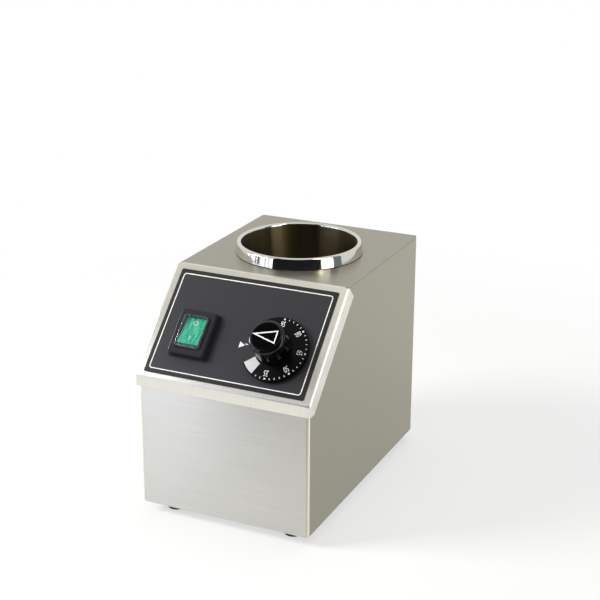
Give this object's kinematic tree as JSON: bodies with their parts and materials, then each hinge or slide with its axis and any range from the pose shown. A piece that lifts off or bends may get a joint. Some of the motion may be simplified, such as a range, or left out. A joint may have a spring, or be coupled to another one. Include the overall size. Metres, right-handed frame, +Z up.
{
  "type": "hot fudge topping warmer",
  "caption": "Countertop topping warmer: sheet-metal box with a round heated dry well, a sloped control panel, a thermostat dial and a rocker switch.",
  "frame": {"origin": "middle of the object's footprint, at the height of the surface it stands on", "axes": "+Z up, out of the well's mouth; -Y towards the front with the sloped controls; +X to the right of someone facing the front"},
  "size_m": [0.154, 0.231, 0.2041],
  "materials": {
    "casing_steel": "satin, fine vertical grain",
    "panel_steel": "satin, fine grain",
    "polished_steel": "mirror polished",
    "label_film": "satin print on film",
    "black_rubber": "matt",
    "silicone": "matt",
    "zinc": "zinc plated",
    "mica_band": "heat-stained sheet",
    "ceramic": "unglazed",
    "glass_fibre": "matt felt",
    "galvanised": "galvanised",
    "black_plastic": "moulded",
    "knob_plastic": "gloss",
    "brass": "bright",
    "copper": "drawn tube",
    "green_lens": "tinted, translucent",
    "clear_cover": "clear, flexible",
    "spring_steel": "bright wire",
    "lamp_glass": "clear",
    "wire_insulation": "heat-resistant sleeving",
    "receptacle_cover": "moulded cover"
  },
  "bodies": {
    "housing": {"casing_wrap": "casing_steel", "top_plate": "casing_steel", "front_panel": "panel_steel", "fascia": "panel_steel", "label_overlay": "label_film", "base_plate": "galvanised", "feet": "black_rubber", "foot_screws": "zinc", "foot_nuts": "zinc", "base_screws": "zinc", "clinch_nuts": "zinc", "stud_nuts": "zinc", "well_cup": "polished_steel", "well_gasket": "silicone", "well_pad": "glass_fibre", "well_bracket": "galvanised", "well_nut": "zinc", "bracket_screws": "zinc", "bracket_nuts": "zinc", "heater_band": "mica_band", "clamp_screws": "zinc", "clamp_nuts": "zinc", "heater_posts": "ceramic", "insulation_sleeve": "glass_fibre", "sleeve_straps": "zinc", "thermostat_bridge": "galvanised", "thermostat_body": "ceramic", "thermostat_tabs": "brass", "dial_screws": "zinc", "thermostat_capillary": "copper", "thermostat_bulb": "copper", "bulb_clips": "spring_steel", "switch_body": "black_plastic", "switch_tabs": "brass", "switch_lamp": "lamp_glass", "switch_cover": "clear_cover", "switch_frame": "black_plastic", "cutout_bracket": "galvanised", "thermal_cutout": "zinc", "cutout_screws": "zinc", "mains_inlet": "black_plastic", "inlet_pins": "brass", "inlet_screws": "zinc", "inlet_nuts": "zinc", "terminal_block": "ceramic", "terminal_sleeves": "brass", "terminal_screws": "zinc", "block_screws": "zinc", "block_nuts": "zinc", "earth_stud": "zinc", "earth_tag": "brass", "earth_nut": "zinc", "receptacles": "receptacle_cover", "wiring": "wire_insulation"},
    "dial": {"dial_knob": "knob_plastic", "thermostat_spindle": "zinc"},
    "rocker": {"switch_rocker": "green_lens", "switch_plunger": "black_plastic", "switch_spring": "spring_steel"},
    "contact": {"switch_contact": "brass"}
  },
  "joints": [
    {"name": "dial_turn", "type": "hinge", "parent": "housing", "child": "dial", "pos_m": [0.035, -0.08678, 0.1508], "axis": [0, 0.6993, -0.7149], "range_deg": [0, 270]},
    {"name": "rocker_tip", "type": "hinge", "parent": "housing", "child": "rocker", "pos_m": [-0.0373, -0.08558, 0.15057], "axis": [1, 0, 0], "range_deg": [0, 16]},
    {"name": "contact_tip", "type": "hinge", "parent": "housing", "child": "contact", "pos_m": [-0.0373, -0.07761, 0.14242], "axis": [1, 0, 0], "range_deg": [-12, 0]}
  ],
  "couplings": [
    {"joint": "contact_tip", "follows": "rocker_tip", "ratio": -0.75}
  ]
}
